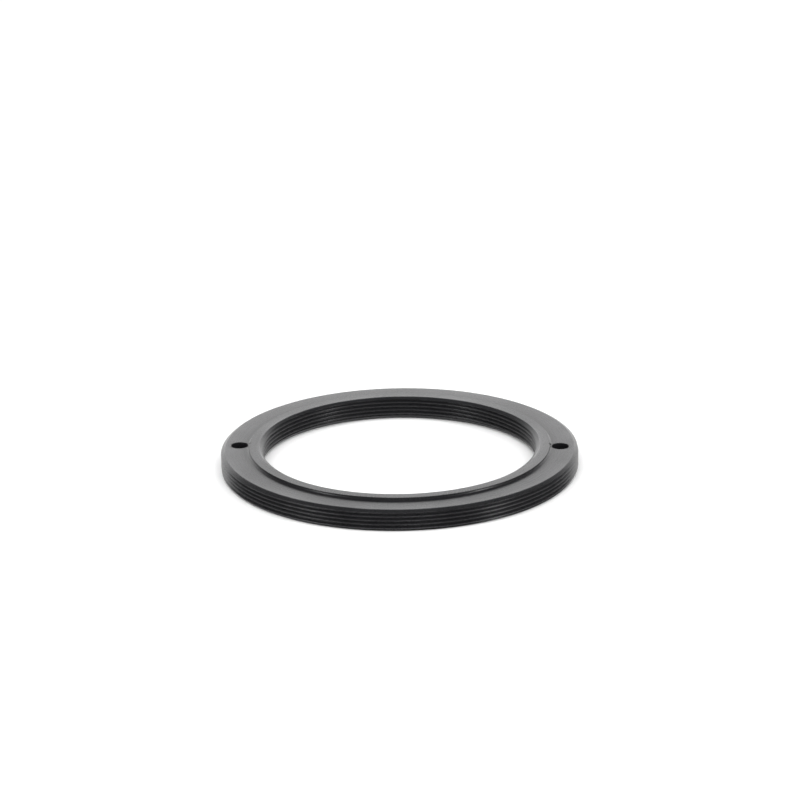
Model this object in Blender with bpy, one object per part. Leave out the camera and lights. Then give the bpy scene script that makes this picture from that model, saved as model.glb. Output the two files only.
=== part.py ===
"""Threaded adapter ring for a telescope train: M67 x 0.75 outside, M52 x 0.75 inside.

One turned piece. The ring lies flat with its collar up, and its axis is the world Z axis.
The origin is on that axis, in the plane of the bottom face. Units are metres.
"""
import math

import bmesh
import bpy

MM = 0.001

# Heights above the bottom face
FLANGE_TOP = 4.0 * MM
COLLAR_TOP = 4.5 * MM

# Outside thread, M67 x 0.75: nominal crest radius and depth
PITCH = 0.75 * MM
OUTER_MAJOR_RADIUS = 33.5 * MM
OUTER_THREAD_DEPTH = 0.6134 * PITCH
OUTER_ROOT_FLAT = PITCH / 6

# Inside thread, M52 x 0.75
INNER_MAJOR_RADIUS = 26.0 * MM
INNER_THREAD_DEPTH = 0.5413 * PITCH
INNER_ROOT_FLAT = PITCH / 8
INNER_MINOR_RADIUS = INNER_MAJOR_RADIUS - INNER_THREAD_DEPTH

# Height of the middle of each groove's root where it crosses the XZ plane at +X
OUTER_GROOVE_START = 0.41 * MM
INNER_GROOVE_START = 0.7 * MM

# Chamfers: radial widths. The bottom two are at 45 degrees, and the top two are flatter.
OUTER_TOP_CHAMFER = 0.8 * MM
OUTER_TOP_CHAMFER_HEIGHT = 0.4 * MM
OUTER_BOTTOM_CHAMFER = 0.5 * MM
INNER_TOP_CHAMFER = 0.75 * MM
INNER_TOP_CHAMFER_HEIGHT = 0.35 * MM
INNER_BOTTOM_CHAMFER = 1.0 * MM

# Collar
COLLAR_RADIUS = 28.2 * MM
COLLAR_FILLET = 0.38 * MM
FILLET_STEPS = 4

# Pin-spanner holes, with a spotface that stops just clear of the flange and nicks the collar
HOLE_PITCH_RADIUS = 30.1 * MM
HOLE_RADIUS = 1.6 * MM
HOLE_DEBURR = 0.1 * MM
SPOTFACE_RADIUS = 2.05 * MM
SPOTFACE_CLEARANCE = 0.02 * MM
HOLE_LINE_TURN = -2.8
HOLE_SEGMENTS = 24

# Faceting
RING_SEGMENTS = 72
FLANK_ANGLE = math.radians(30)
OVERCUT = 0.1 * MM


def clear_objects():
    for old in list(bpy.data.objects):
        bpy.data.objects.remove(old, do_unlink=True)


def link(name, bm, smooth_angle=None):
    """Turn a bmesh into a linked object with its faces pointing outwards."""
    bmesh.ops.recalc_face_normals(bm, faces=bm.faces)
    mesh = bpy.data.meshes.new(name)
    bm.to_mesh(mesh)
    bm.free()
    if smooth_angle is not None:
        mesh.shade_smooth()
        mesh.set_sharp_from_angle(angle=smooth_angle)
    obj = bpy.data.objects.new(name, mesh)
    bpy.context.collection.objects.link(obj)
    return obj


def anodised_black():
    material = bpy.data.materials.new("anodised_black")
    material.use_nodes = True
    shader = material.node_tree.nodes["Principled BSDF"]
    shader.inputs["Base Color"].default_value = (0.016, 0.016, 0.018, 1.0)
    shader.inputs["Metallic"].default_value = 0.0
    shader.inputs["Roughness"].default_value = 0.32
    return material


def blank_profile():
    """Radius and height of the ring's section before threading, clockwise from the top."""
    fillet_arc = []
    for step in range(FILLET_STEPS + 1):
        turn = math.pi / 2 * step / FILLET_STEPS
        radius = COLLAR_RADIUS + COLLAR_FILLET * (1 - math.cos(turn))
        height = FLANGE_TOP + COLLAR_FILLET * (1 - math.sin(turn))
        fillet_arc.append((radius, height))
    return [
        (INNER_MINOR_RADIUS + INNER_TOP_CHAMFER, COLLAR_TOP),
        (COLLAR_RADIUS, COLLAR_TOP),
        *fillet_arc,
        (OUTER_MAJOR_RADIUS - OUTER_TOP_CHAMFER, FLANGE_TOP),
        (OUTER_MAJOR_RADIUS, FLANGE_TOP - OUTER_TOP_CHAMFER_HEIGHT),
        (OUTER_MAJOR_RADIUS, OUTER_BOTTOM_CHAMFER),
        (OUTER_MAJOR_RADIUS - OUTER_BOTTOM_CHAMFER, 0.0),
        (INNER_MINOR_RADIUS + INNER_BOTTOM_CHAMFER, 0.0),
        (INNER_MINOR_RADIUS, INNER_BOTTOM_CHAMFER),
        (INNER_MINOR_RADIUS, COLLAR_TOP - INNER_TOP_CHAMFER_HEIGHT),
    ]


def turned_blank(name):
    """Sweep the closed section round the axis, bridging each outline to the next."""
    bm = bmesh.new()
    outlines = []
    for segment in range(RING_SEGMENTS):
        angle = 2 * math.pi * segment / RING_SEGMENTS
        outlines.append([
            bm.verts.new((radius * math.cos(angle), radius * math.sin(angle), height))
            for radius, height in blank_profile()
        ])
    for segment, outline in enumerate(outlines):
        following = outlines[(segment + 1) % RING_SEGMENTS]
        for point in range(len(outline)):
            neighbour = (point + 1) % len(outline)
            bm.faces.new((
                outline[point],
                following[point],
                following[neighbour],
                outline[neighbour],
            ))
    return link(name, bm, smooth_angle=FLANK_ANGLE)


def groove_cutter(name, root_radius, mouth_radius, root_flat, start):
    """A right-handed helical ridge with 60-degree flanks, long enough to run out both ends.

    root_radius is the bottom of the groove and mouth_radius is just past the thread crest.
    """
    mouth_half = root_flat / 2 + abs(mouth_radius - root_radius) * math.tan(FLANK_ANGLE)
    section = (
        (root_radius, -root_flat / 2),
        (root_radius, root_flat / 2),
        (mouth_radius, mouth_half),
        (mouth_radius, -mouth_half),
    )
    first_turn = -math.ceil((start + mouth_half) / PITCH) - 0.25
    last_turn = math.ceil((COLLAR_TOP - start + mouth_half) / PITCH) + 0.25
    steps = round((last_turn - first_turn) * RING_SEGMENTS)
    bm = bmesh.new()
    rings = []
    for step in range(steps + 1):
        turn = first_turn + (step + 0.5) / RING_SEGMENTS
        angle = 2 * math.pi * turn
        rings.append([
            bm.verts.new((
                radius * math.cos(angle),
                radius * math.sin(angle),
                start + PITCH * turn + height,
            ))
            for radius, height in section
        ])
    for lower, upper in zip(rings, rings[1:]):
        for corner in range(len(section)):
            neighbour = (corner + 1) % len(section)
            bm.faces.new((lower[corner], upper[corner], upper[neighbour], lower[neighbour]))
    bm.faces.new(rings[0])
    bm.faces.new(rings[-1])
    return link(name, bm)


def hole_cutter(name, turn):
    """A drill through the flange, a 45-degree deburring cone, and the spotface above it."""
    angle = math.radians(HOLE_LINE_TURN + turn)
    spotface_floor = FLANGE_TOP + SPOTFACE_CLEARANCE
    stations = (
        (HOLE_RADIUS, -OVERCUT),
        (HOLE_RADIUS, FLANGE_TOP - HOLE_DEBURR),
        (HOLE_RADIUS + HOLE_DEBURR + SPOTFACE_CLEARANCE, spotface_floor),
        (SPOTFACE_RADIUS, spotface_floor),
        (SPOTFACE_RADIUS, COLLAR_TOP + OVERCUT),
    )
    bm = bmesh.new()
    circles = []
    for radius, height in stations:
        circle = bmesh.ops.create_circle(bm, segments=HOLE_SEGMENTS, radius=radius)["verts"]
        bmesh.ops.translate(bm, verts=circle, vec=(0.0, 0.0, height))
        circles.append(circle)
    for lower, upper in zip(circles, circles[1:]):
        for corner in range(HOLE_SEGMENTS):
            neighbour = (corner + 1) % HOLE_SEGMENTS
            bm.faces.new((lower[corner], lower[neighbour], upper[neighbour], upper[corner]))
    bm.faces.new(circles[0])
    bm.faces.new(circles[-1])
    cutter = link(name, bm)
    cutter.location = (
        HOLE_PITCH_RADIUS * math.cos(angle),
        HOLE_PITCH_RADIUS * math.sin(angle),
        0.0,
    )
    return cutter


def cut(body, cutter):
    """Subtract a cutter from a body, and keep the cutter out of the finished part."""
    cutter.hide_render = True
    cutter.display_type = "WIRE"
    boolean = body.modifiers.new(cutter.name, "BOOLEAN")
    boolean.operation = "DIFFERENCE"
    boolean.solver = "EXACT"
    boolean.object = cutter


def build_adapter_ring():
    ring = turned_blank("adapter_ring")
    ring.data.materials.append(anodised_black())
    outer_groove = groove_cutter(
        "outer_groove_cutter",
        root_radius=OUTER_MAJOR_RADIUS - OUTER_THREAD_DEPTH,
        mouth_radius=OUTER_MAJOR_RADIUS + OVERCUT,
        root_flat=OUTER_ROOT_FLAT,
        start=OUTER_GROOVE_START,
    )
    inner_groove = groove_cutter(
        "inner_groove_cutter",
        root_radius=INNER_MAJOR_RADIUS,
        mouth_radius=INNER_MINOR_RADIUS - OVERCUT,
        root_flat=INNER_ROOT_FLAT,
        start=INNER_GROOVE_START,
    )
    cut(ring, outer_groove)
    cut(ring, inner_groove)
    for side, turn in (("right", 0.0), ("left", 180.0)):
        cut(ring, hole_cutter(f"{side}_spanner_hole_cutter", turn))


clear_objects()
build_adapter_ring()
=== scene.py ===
"""Looks of the threaded adapter ring: a fine turned and threaded mesh in black anodised aluminium.

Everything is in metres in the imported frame: the ring's axis is Z, and its bottom face is at Z = 0.
"""
import math

import bmesh
import bpy
from mathutils import Matrix, Vector


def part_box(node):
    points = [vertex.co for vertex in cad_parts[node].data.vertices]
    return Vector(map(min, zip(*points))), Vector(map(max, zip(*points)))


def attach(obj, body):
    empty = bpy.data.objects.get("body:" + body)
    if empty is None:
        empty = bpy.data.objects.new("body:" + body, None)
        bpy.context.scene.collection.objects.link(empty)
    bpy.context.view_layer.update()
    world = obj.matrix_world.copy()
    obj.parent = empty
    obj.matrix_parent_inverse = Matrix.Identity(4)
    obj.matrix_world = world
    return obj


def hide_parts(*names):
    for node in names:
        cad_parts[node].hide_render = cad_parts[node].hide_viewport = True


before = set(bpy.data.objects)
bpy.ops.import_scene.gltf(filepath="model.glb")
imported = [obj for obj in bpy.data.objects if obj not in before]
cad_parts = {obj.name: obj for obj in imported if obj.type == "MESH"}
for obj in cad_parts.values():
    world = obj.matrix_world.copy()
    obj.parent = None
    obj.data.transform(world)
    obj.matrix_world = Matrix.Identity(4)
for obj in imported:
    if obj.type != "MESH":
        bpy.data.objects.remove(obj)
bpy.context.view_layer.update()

MM = 0.001
RING_LOW, RING_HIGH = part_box("adapter_ring")
RING_BODY = "root"

# Section of the ring
FLANGE_TOP = 4.0 * MM
COLLAR_TOP = RING_HIGH.z
COLLAR_RADIUS = 28.2 * MM
FILLET_RADIUS = 0.38 * MM
RIM_RADIUS = 0.05 * MM
ARC_STEPS = 4
HOLDING_LOOP = 0.025 * MM

# Threads, with 60-degree flanks: the outside is M67 x 0.75 and the inside is M52 x 0.75
PITCH = 0.75 * MM
FLANK_SLOPE = 1 / math.tan(math.radians(30))
OUTER_DEPTH = 0.6134 * PITCH
INNER_DEPTH = 0.5413 * PITCH
INNER_MAJOR_RADIUS = 26.0 * MM

# Each threaded wall. Its side is 1 where it faces away from the axis. Start is the height of
# a root's middle at +X. The plain section takes over at the margins from its top and bottom.
OUTER = {
    "side": 1,
    "crest": RING_HIGH.x,
    "depth": OUTER_DEPTH,
    "root_half": PITCH / 12,
    "start": 0.41 * MM,
    "top": FLANGE_TOP,
    "top_chamfer": 0.8 * MM,
    "top_chamfer_height": 0.4 * MM,
    "bottom_chamfer": 0.5 * MM,
    "top_margin": 0.08 * MM,
    "bottom_margin": 0.04 * MM,
    "crest_rounding": 0.1 * MM,
}
INNER = {
    "side": -1,
    "crest": INNER_MAJOR_RADIUS - INNER_DEPTH,
    "depth": INNER_DEPTH,
    "root_half": PITCH / 16,
    "start": 0.7 * MM,
    "top": COLLAR_TOP,
    "top_chamfer": 0.75 * MM,
    "top_chamfer_height": 0.35 * MM,
    "bottom_chamfer": 1.0 * MM,
    "top_margin": 0.08 * MM,
    "bottom_margin": 0.15 * MM,
    "crest_rounding": 0.12 * MM,
}
ROOT_ROUNDING = 0.08 * MM

# Mesh density
COLUMNS = 360
ROWS_PER_PITCH = 20

# Pin-spanner holes
HOLE_PITCH_RADIUS = 30.1 * MM
HOLE_RADIUS = 1.6 * MM
HOLE_DEBURR = 0.1 * MM
SPOTFACE_RADIUS = 2.05 * MM
SPOTFACE_CLEARANCE = 0.02 * MM
HOLE_LINE_TURN = math.radians(-2.8)
HOLE_SEGMENTS = 64
OVERCUT = 0.2 * MM

WELD = 0.001 * MM
SHARP_ANGLE = math.radians(40)

# Wear along rims. Along the outer thread crests the lighter colour is partly wear and partly a
# painted highlight
EDGE_ATTRIBUTE = "edge"
RIM_WEAR_REACH = 0.1 * MM
CREST_WEAR_AND_HIGHLIGHT = 0.5
CREST_WEAR_AND_HIGHLIGHT_REACH = 0.06 * MM
WEAR_AND_HIGHLIGHT_SHOWN = 0.25

# Anodised surface: marks and grain per metre, depths in metres
FEED_LEAN = 0.37
LATHE_MARKS = 9000.0
LATHE_BANDS = 900.0
LATHE_DEPTH = 0.0006 * MM
ETCH_GRAIN = 7000.0
ETCH_DEPTH = 0.001 * MM
DYE_PATCHES = 120.0
LINE_DETAIL_SHARE = 0.6
CLOUD_DETAIL_SHARE = 0.55
ROUGHNESS = 0.28
GRAIN_ROUGHNESS = 0.03
BAND_ROUGHNESS = 0.06
WEAR_POLISH = 0.05
ANODISE_IOR = 1.42
DYE_DARK = (0.006, 0.006, 0.007, 1.0)
DYE_LIGHT = (0.010, 0.010, 0.011, 1.0)
DYE_LINE = (0.015, 0.015, 0.016, 1.0)
DYE_LINE_SHOWN = 0.35
# Lighter colour for worn rims. On the outer crests it is partly wear and partly a painted highlight
BARE_METAL_AND_HIGHLIGHT = (0.30, 0.30, 0.31, 1.0)

# Where a noise fades from one end of its effect to the other
SHARP_FADE = (0.35, 0.65)
SOFT_FADE = (0.3, 0.7)
LEAST_WEAR = 0.35
BROAD_LINE_DEPTH = 0.5

# Floor
FLOOR_SIZE = 6.0
FLOOR_GAP = 0.02 * MM
FLOOR_COLOUR = (0.9, 0.9, 0.9, 1.0)
FLOOR_ROUGHNESS = 0.9
FLOOR_SPECULAR = 0.1

# Studio. The wall fades in as a direction's Y part grows, and out as its Z part grows.
BACK_WALL_RADIANCE = 1.75
ROOM_RADIANCE = 0.2
BACK_WALL_SIDES = (0.45, 0.75)
BACK_WALL_TOP = (0.36, 0.52)
LIGHT_DISTANCE = 1.2
# Each light: name, direction from the ring, width and height, radiance, seen in reflections
LIGHTS = (
    ("left_strip", (-0.75, -0.42, 0.42), (0.16, 0.63), 12.0, True),
    ("right_strip", (0.80, -0.38, 0.42), (0.16, 0.63), 18.0, True),
    ("left_softbox", (-0.58, -0.11, 0.80), (0.38, 0.38), 1.5, True),
    ("right_softbox", (0.62, -0.09, 0.78), (0.38, 0.38), 1.3, True),
    ("overhead_fill", (0.0, -0.10, 1.0), (1.4, 1.4), 2.1, False),
    ("front_fill", (0.0, -1.0, 0.60), (1.1, 1.1), 2.2, False),
)

# Camera, with the ring's place from it in outside radii: across, up and ahead
CAMERA_TILT = 19.504
CAMERA_ROLL = 0.844
CAMERA_LENS = 146.6
SENSOR_WIDTH = 36.0
CLIP_START = 0.01
RING_FROM_CAMERA = (-0.0006, -0.3685, 18.2845)


def smooth_min(first, second, band):
    """The lower of two lengths, rounded where they are within a band of each other."""
    overlap = max(band - abs(first - second), 0.0) / band
    return min(first, second) - overlap * overlap * band / 4


def smooth_max(first, second, band):
    return -smooth_min(-first, -second, band)


def chamfer_radius(wall, height):
    """Radius of the chamfer cone, top or bottom, that the wall meets first at this height."""
    side = wall["side"]
    top_rim = side * wall["crest"] - wall["top_chamfer"]
    bottom_rim = side * wall["crest"] - wall["bottom_chamfer"]
    top_slope = wall["top_chamfer"] / wall["top_chamfer_height"]
    return side * min(top_rim + (wall["top"] - height) * top_slope, bottom_rim + height)


def wall_radius(wall, height, turn):
    """Radius of a threaded wall. Lengths are measured outwards from the metal's inside."""
    side = wall["side"]
    crest = side * wall["crest"]
    from_root = (height - wall["start"] - PITCH * turn) / PITCH
    from_root = abs((from_root + 0.5) % 1.0 - 0.5) * PITCH
    flank = crest - wall["depth"] + (from_root - wall["root_half"]) * FLANK_SLOPE
    surface = smooth_max(flank, crest - wall["depth"], ROOT_ROUNDING)
    surface = smooth_min(surface, crest, wall["crest_rounding"])
    chamfer = side * chamfer_radius(wall, height)
    return abs(smooth_min(surface, chamfer, wall["crest_rounding"]))


def on_circle(radius, column, height):
    angle = 2 * math.pi * column / COLUMNS
    return (radius * math.cos(angle), radius * math.sin(angle), height)


def add_threaded_wall(bm, wall):
    """A grid whose rows climb with the helix, so that thread edges lie along mesh edges."""
    row_height = PITCH / ROWS_PER_PITCH
    low = wall["bottom_margin"]
    high = wall["top"] - wall["top_margin"]
    first = wall["start"] - PITCH * math.ceil((wall["start"] - low) / PITCH + 1)
    rows = math.ceil((high - first) / row_height) + 1
    lines = []
    for column in range(COLUMNS):
        turn = column / COLUMNS
        end_low = bm.verts.new(on_circle(chamfer_radius(wall, low), column, low))
        end_high = bm.verts.new(on_circle(chamfer_radius(wall, high), column, high))
        line = []
        for row in range(rows):
            height = first + row * row_height + PITCH * turn
            if height < low + row_height / 2:
                line.append(end_low)
            elif height > high - row_height / 2:
                line.append(end_high)
            else:
                radius = wall_radius(wall, height, turn)
                line.append(bm.verts.new(on_circle(radius, column, height)))
        lines.append(line)
    for column, line in enumerate(lines):
        following = lines[(column + 1) % COLUMNS]
        climb = ROWS_PER_PITCH if column == COLUMNS - 1 else 0
        for row in range(rows - 1):
            corners = [
                line[row],
                following[min(row + climb, rows - 1)],
                following[min(row + 1 + climb, rows - 1)],
                line[row + 1],
            ]
            if wall["side"] < 0:
                corners.reverse()
            distinct = list(dict.fromkeys(corners))
            if len(distinct) > 2:
                bm.faces.new(distinct)


def rounded(points):
    """A section outline with each corner turned into an arc, held by a point on either side.

    Each point is (radius, height, corner radius). Corner radius None marks an end, which is
    kept as it is.
    """
    outline = []
    for index, (radius, height, corner) in enumerate(points):
        here = Vector((radius, height))
        if corner is None:
            outline.append(here)
            continue
        ways = [(Vector(points[index + step][:2]) - here).normalized() for step in (-1, 1)]
        half_angle = ways[0].angle(ways[1]) / 2
        reach = corner / math.tan(half_angle)
        centre = here + (ways[0] + ways[1]).normalized() * corner / math.sin(half_angle)
        arms = [(here + way * reach - centre).normalized() for way in ways]
        arc = [
            centre + arms[0].slerp(arms[1], step / ARC_STEPS) * corner
            for step in range(ARC_STEPS + 1)
        ]
        if points[index - 1][2] is not None:
            arc.insert(0, here + ways[0] * (reach + HOLDING_LOOP))
        if points[index + 1][2] is not None:
            arc.append(here + ways[1] * (reach + HOLDING_LOOP))
        outline.extend(arc)
    return outline


def wall_ends(wall):
    """Where a threaded wall hands over to the plain turned section, at its top and bottom."""
    heights = (wall["top"] - wall["top_margin"], wall["bottom_margin"])
    return [(chamfer_radius(wall, height), height, None) for height in heights]


def web_outlines():
    """Upper and lower parts of the section, between the two threaded walls."""
    inner_top, inner_bottom = wall_ends(INNER)
    outer_top, outer_bottom = wall_ends(OUTER)
    upper = [
        inner_top,
        (INNER["crest"] + INNER["top_chamfer"], COLLAR_TOP, RIM_RADIUS),
        (COLLAR_RADIUS, COLLAR_TOP, RIM_RADIUS),
        (COLLAR_RADIUS, FLANGE_TOP, FILLET_RADIUS),
        (OUTER["crest"] - OUTER["top_chamfer"], FLANGE_TOP, RIM_RADIUS),
        outer_top,
    ]
    lower = [
        outer_bottom,
        (OUTER["crest"] - OUTER["bottom_chamfer"], 0.0, RIM_RADIUS),
        (INNER["crest"] + INNER["bottom_chamfer"], 0.0, RIM_RADIUS),
        inner_bottom,
    ]
    return rounded(upper), rounded(lower)


def link_mesh(name, bm):
    mesh = bpy.data.meshes.new(name)
    bm.to_mesh(mesh)
    bm.free()
    obj = bpy.data.objects.new(name, mesh)
    bpy.context.scene.collection.objects.link(obj)
    return obj


def turned_web():
    """The plain turned section, closed by two stand-in walls that carry material slot 1."""
    upper, lower = web_outlines()
    outline = upper + lower
    stand_ins = (len(upper) - 1, len(outline) - 1)
    bm = bmesh.new()
    sections = [
        [bm.verts.new(on_circle(radius, column, height)) for radius, height in outline]
        for column in range(COLUMNS)
    ]
    for column, section in enumerate(sections):
        following = sections[(column + 1) % COLUMNS]
        for point in range(len(outline)):
            neighbour = (point + 1) % len(outline)
            corners = (section[point], section[neighbour], following[neighbour], following[point])
            face = bm.faces.new(corners)
            face.material_index = int(point in stand_ins)
    bmesh.ops.recalc_face_normals(bm, faces=bm.faces)
    return link_mesh("turned_web", bm)


def spanner_drill(angle):
    """A drill with deburring cones, under a spotface that nicks the collar's edge."""
    spotface_floor = FLANGE_TOP + SPOTFACE_CLEARANCE
    stations = (
        (HOLE_RADIUS + HOLE_DEBURR + OVERCUT, -OVERCUT),
        (HOLE_RADIUS, HOLE_DEBURR),
        (HOLE_RADIUS, FLANGE_TOP - HOLE_DEBURR),
        (HOLE_RADIUS + HOLE_DEBURR + SPOTFACE_CLEARANCE, spotface_floor),
        (SPOTFACE_RADIUS, spotface_floor),
        (SPOTFACE_RADIUS, COLLAR_TOP + OVERCUT),
    )
    bm = bmesh.new()
    circles = []
    for radius, height in stations:
        made = bmesh.ops.create_circle(bm, segments=HOLE_SEGMENTS, radius=radius)
        bmesh.ops.translate(bm, verts=made["verts"], vec=(0.0, 0.0, height))
        circles.append(made["verts"])
    for lower, upper in zip(circles, circles[1:]):
        for corner in range(HOLE_SEGMENTS):
            neighbour = (corner + 1) % HOLE_SEGMENTS
            bm.faces.new((lower[corner], lower[neighbour], upper[neighbour], upper[corner]))
    bm.faces.new(circles[0])
    bm.faces.new(circles[-1])
    bmesh.ops.recalc_face_normals(bm, faces=bm.faces)
    drill = link_mesh("spanner_drill", bm)
    drill.location = (
        HOLE_PITCH_RADIUS * math.cos(angle),
        HOLE_PITCH_RADIUS * math.sin(angle),
        0.0,
    )
    return drill


def drilled(web, drills):
    """The web's mesh after drilling. The drills and the web object are removed."""
    for slot_name in ("web", "stand_in"):
        web.data.materials.append(bpy.data.materials.new(slot_name))
    for drill in drills:
        boolean = web.modifiers.new("spanner_hole", "BOOLEAN")
        boolean.operation = "DIFFERENCE"
        boolean.solver = "EXACT"
        boolean.object = drill
    bpy.context.view_layer.update()
    evaluated = web.evaluated_get(bpy.context.evaluated_depsgraph_get())
    mesh = bpy.data.meshes.new_from_object(evaluated)
    for spent in (web, *drills):
        bpy.data.objects.remove(spent, do_unlink=True)
    return mesh


def build_ring():
    """Drill the web, drop its stand-in walls and weld the threaded walls in their place."""
    drills = [spanner_drill(HOLE_LINE_TURN + turn) for turn in (0.0, math.pi)]
    web_mesh = drilled(turned_web(), drills)
    bm = bmesh.new()
    bm.from_mesh(web_mesh)
    stand_ins = [face for face in bm.faces if face.material_index == 1]
    bmesh.ops.delete(bm, geom=stand_ins, context="FACES")
    for face in bm.faces:
        face.material_index = 0
    for wall in (OUTER, INNER):
        add_threaded_wall(bm, wall)
    rims = [vert for vert in bm.verts if vert.is_boundary]
    bmesh.ops.remove_doubles(bm, verts=rims, dist=WELD)
    bmesh.ops.dissolve_degenerate(bm, edges=bm.edges, dist=WELD)
    ring = link_mesh("threaded_ring", bm)
    ring.data.shade_smooth()
    ring.data.set_sharp_from_angle(angle=SHARP_ANGLE)
    return ring


def mark_edges(ring):
    """Store how near each point is to a rim, where handling polishes it, or to an outside crest,
    where the lighter colour is partly polish and partly a painted highlight.
    """
    rims = [
        (INNER["crest"] + INNER["top_chamfer"], COLLAR_TOP),
        (COLLAR_RADIUS, COLLAR_TOP),
        (OUTER["crest"] - OUTER["top_chamfer"], FLANGE_TOP),
        (OUTER["crest"] - OUTER["bottom_chamfer"], 0.0),
        (INNER["crest"] + INNER["bottom_chamfer"], 0.0),
    ]
    edge = ring.data.attributes.new(EDGE_ATTRIBUTE, "FLOAT", "POINT")
    for vert, value in zip(ring.data.vertices, edge.data):
        radius = vert.co.to_2d().length
        rim_gap = min(math.hypot(radius - r, vert.co.z - z) for r, z in rims)
        crest_gap = abs(radius - OUTER["crest"])
        value.value = max(
            1.0 - rim_gap / RIM_WEAR_REACH,
            # The crest term lightens the outer crests: partly wear, partly a painted highlight
            CREST_WEAR_AND_HIGHLIGHT * (1.0 - crest_gap / CREST_WEAR_AND_HIGHLIGHT_REACH),
            0.0,
        )


class Nodes:
    """A short way to add and join shader nodes."""

    def __init__(self, tree):
        self.tree = tree
        tree.nodes.clear()

    def add(self, kind, links=None, **settings):
        node = self.tree.nodes.new(kind)
        for name, value in settings.items():
            setattr(node, name, value)
        for socket, value in (links or {}).items():
            if isinstance(value, bpy.types.NodeSocket):
                self.tree.links.new(value, node.inputs[socket])
            else:
                node.inputs[socket].default_value = value
        return node

    def math(self, operation, first, second=0.0, third=0.0):
        links = {0: first, 1: second, 2: third}
        return self.add("ShaderNodeMath", links, operation=operation).outputs[0]

    def span(self, value, low, high, out_low, out_high):
        links = {0: value, 1: low, 2: high, 3: out_low, 4: out_high}
        return self.add("ShaderNodeMapRange", links, clamp=True).outputs[0]

    def mix_colour(self, factor, first, second):
        # Inputs 6 and 7 are the node's two colours
        links = {0: factor, 6: first, 7: second}
        return self.add("ShaderNodeMix", links, data_type="RGBA").outputs[2]


def anodised_black():
    """Satin black anodising over fine lathe marks, a little polished along rims and crests. The
    lighter colour on the crests is partly a painted highlight.
    """
    material = bpy.data.materials.new("anodised_black")
    material.use_nodes = True
    nodes = Nodes(material.node_tree)
    place = nodes.add("ShaderNodeTexCoord").outputs["Object"]
    axes = nodes.add("ShaderNodeSeparateXYZ", {0: place}).outputs
    flat = nodes.add("ShaderNodeCombineXYZ", {0: axes["X"], 1: axes["Y"]}).outputs[0]
    radius = nodes.add("ShaderNodeVectorMath", {0: flat}, operation="LENGTH").outputs["Value"]
    feed = nodes.math("MULTIPLY_ADD", axes["Z"], FEED_LEAN, radius)

    def lines(marks_per_metre, detail):
        links = {
            "W": feed,
            "Scale": marks_per_metre,
            "Detail": detail,
            "Roughness": LINE_DETAIL_SHARE,
        }
        return nodes.add("ShaderNodeTexNoise", links, noise_dimensions="1D").outputs["Fac"]

    def cloud(per_metre, detail):
        links = {
            "Vector": place,
            "Scale": per_metre,
            "Detail": detail,
            "Roughness": CLOUD_DETAIL_SHARE,
        }
        return nodes.add("ShaderNodeTexNoise", links, noise_dimensions="3D").outputs["Fac"]

    fine_lines = lines(LATHE_MARKS, 2.0)
    broad_lines = lines(LATHE_BANDS, 1.0)
    grain = cloud(ETCH_GRAIN, 2.0)
    patches = cloud(DYE_PATCHES, 3.0)
    edge = nodes.add("ShaderNodeAttribute", attribute_name=EDGE_ATTRIBUTE).outputs["Fac"]
    ragged = nodes.span(patches, *SHARP_FADE, LEAST_WEAR, 1.0)
    wear_and_highlight = nodes.math("MULTIPLY", edge, ragged)

    dye = nodes.mix_colour(nodes.span(patches, *SOFT_FADE, 0.0, 1.0), DYE_DARK, DYE_LIGHT)
    line_share = nodes.span(fine_lines, *SHARP_FADE, 0.0, DYE_LINE_SHOWN)
    lined = nodes.mix_colour(line_share, dye, DYE_LINE)
    # Lighter colour along rims is wear. Along the outer crests it is partly wear and partly a
    # painted highlight
    colour = nodes.mix_colour(nodes.math("MULTIPLY", wear_and_highlight, WEAR_AND_HIGHLIGHT_SHOWN), lined, BARE_METAL_AND_HIGHLIGHT)

    smoothest = ROUGHNESS - GRAIN_ROUGHNESS
    roughest = ROUGHNESS + GRAIN_ROUGHNESS
    satin = nodes.span(grain, *SOFT_FADE, smoothest, roughest)
    levelled = nodes.math("ADD", satin, -BAND_ROUGHNESS / 2)
    banded = nodes.math("MULTIPLY_ADD", broad_lines, BAND_ROUGHNESS, levelled)
    roughness = nodes.math("MULTIPLY_ADD", wear_and_highlight, -WEAR_POLISH, banded)

    heights = nodes.math("MULTIPLY_ADD", broad_lines, BROAD_LINE_DEPTH, fine_lines)
    marks = nodes.add(
        "ShaderNodeBump", {"Height": heights, "Distance": LATHE_DEPTH, "Strength": 1.0}
    )
    etched = nodes.add(
        "ShaderNodeBump",
        {"Height": grain, "Distance": ETCH_DEPTH, "Strength": 1.0, "Normal": marks.outputs[0]},
    )
    shader = nodes.add(
        "ShaderNodeBsdfPrincipled",
        {
            "Base Color": colour,
            "Roughness": roughness,
            "Metallic": 0.0,
            "IOR": ANODISE_IOR,
            "Normal": etched.outputs[0],
        },
    )
    nodes.add("ShaderNodeOutputMaterial", {"Surface": shader.outputs[0]})
    return material


def white_sweep():
    """Matt white paper for the floor."""
    material = bpy.data.materials.new("white_sweep")
    material.use_nodes = True
    nodes = Nodes(material.node_tree)
    shader = nodes.add(
        "ShaderNodeBsdfPrincipled",
        {
            "Base Color": FLOOR_COLOUR,
            "Roughness": FLOOR_ROUGHNESS,
            "Specular IOR Level": FLOOR_SPECULAR,
        },
    )
    nodes.add("ShaderNodeOutputMaterial", {"Surface": shader.outputs[0]})
    return material


def add_floor():
    bm = bmesh.new()
    bmesh.ops.create_grid(bm, x_segments=1, y_segments=1, size=FLOOR_SIZE / 2)
    floor = link_mesh("floor", bm)
    floor.location.z = RING_LOW.z - FLOOR_GAP
    floor.data.materials.append(white_sweep())
    return floor


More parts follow.
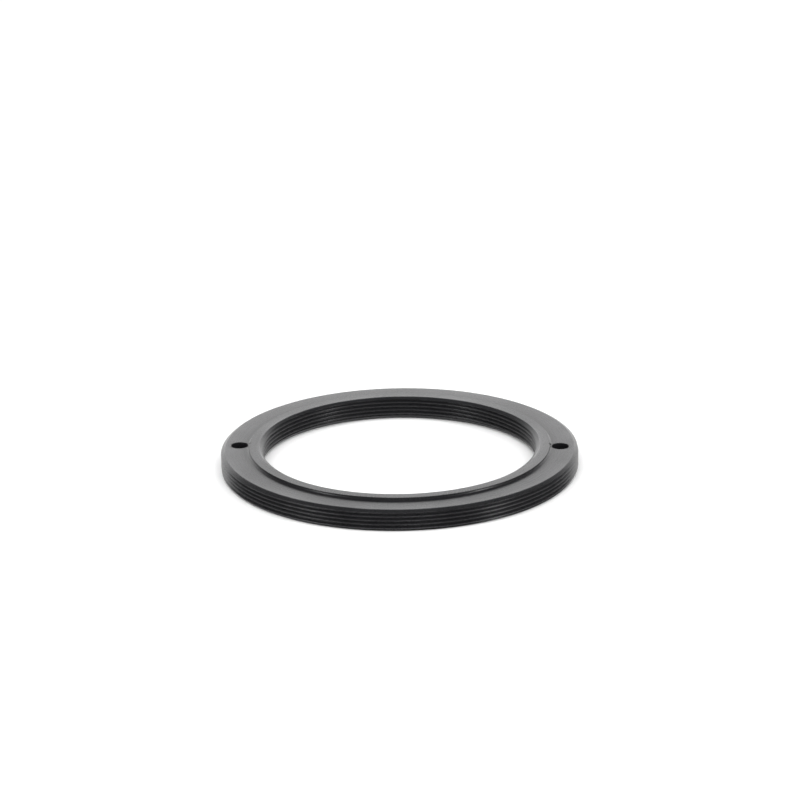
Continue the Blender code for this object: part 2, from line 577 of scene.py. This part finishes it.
def add_light(name, direction, size, radiance, in_reflections):
    """An area light that faces the ring. Fill lights are left out of reflections."""
    light = bpy.data.lights.new(name, "AREA")
    light.shape = "RECTANGLE"
    light.size, light.size_y = size
    light.energy = radiance * math.pi * size[0] * size[1]
    lamp = bpy.data.objects.new(name, light)
    way = Vector(direction).normalized()
    lamp.location = way * LIGHT_DISTANCE
    lamp.rotation_euler = way.to_track_quat("Z", "Y").to_euler()
    lamp.visible_camera = False
    lamp.visible_glossy = in_reflections
    bpy.context.scene.collection.objects.link(lamp)


def add_studio():
    """A dim room with a white wall low down behind the ring, and the area lights."""
    world = bpy.data.worlds.new("studio")
    world.use_nodes = True
    nodes = Nodes(world.node_tree)
    way = nodes.add("ShaderNodeTexCoord").outputs["Generated"]
    axes = nodes.add("ShaderNodeSeparateXYZ", {0: way}).outputs
    behind = nodes.span(axes["Y"], *BACK_WALL_SIDES, 0.0, BACK_WALL_RADIANCE)
    low_down = nodes.span(axes["Z"], *BACK_WALL_TOP, 1.0, 0.0)
    strength = nodes.math("MULTIPLY_ADD", behind, low_down, ROOM_RADIANCE)
    links = {"Color": (1.0, 1.0, 1.0, 1.0), "Strength": strength}
    background = nodes.add("ShaderNodeBackground", links)
    nodes.add("ShaderNodeOutputWorld", {"Surface": background.outputs[0]})
    bpy.context.scene.world = world
    for light in LIGHTS:
        add_light(*light)


def add_camera():
    """A long lens looking down on the ring, with a small roll."""
    tilt = math.radians(CAMERA_TILT)
    roll = math.radians(CAMERA_ROLL)
    forward = Vector((0.0, math.cos(tilt), -math.sin(tilt)))
    level_up = Vector((0.0, math.sin(tilt), math.cos(tilt)))
    level_right = Vector((1.0, 0.0, 0.0))
    right = math.cos(roll) * level_right - math.sin(roll) * level_up
    up = math.sin(roll) * level_right + math.cos(roll) * level_up
    across, rise, ahead = (OUTER["crest"] * share for share in RING_FROM_CAMERA)
    data = bpy.data.cameras.new("camera")
    data.lens = CAMERA_LENS
    data.sensor_width = SENSOR_WIDTH
    data.clip_start = CLIP_START
    camera = bpy.data.objects.new("camera", data)
    turn = Matrix((right, up, -forward)).transposed().to_4x4()
    camera.matrix_world = Matrix.Translation(-(across * right + rise * up + ahead * forward)) @ turn
    bpy.context.scene.collection.objects.link(camera)
    bpy.context.scene.camera = camera


bpy.context.scene.view_settings.view_transform = "Standard"
threaded_ring = build_ring()
mark_edges(threaded_ring)
threaded_ring.data.materials.append(anodised_black())
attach(threaded_ring, RING_BODY)
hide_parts("adapter_ring")
add_floor()
add_studio()
add_camera()
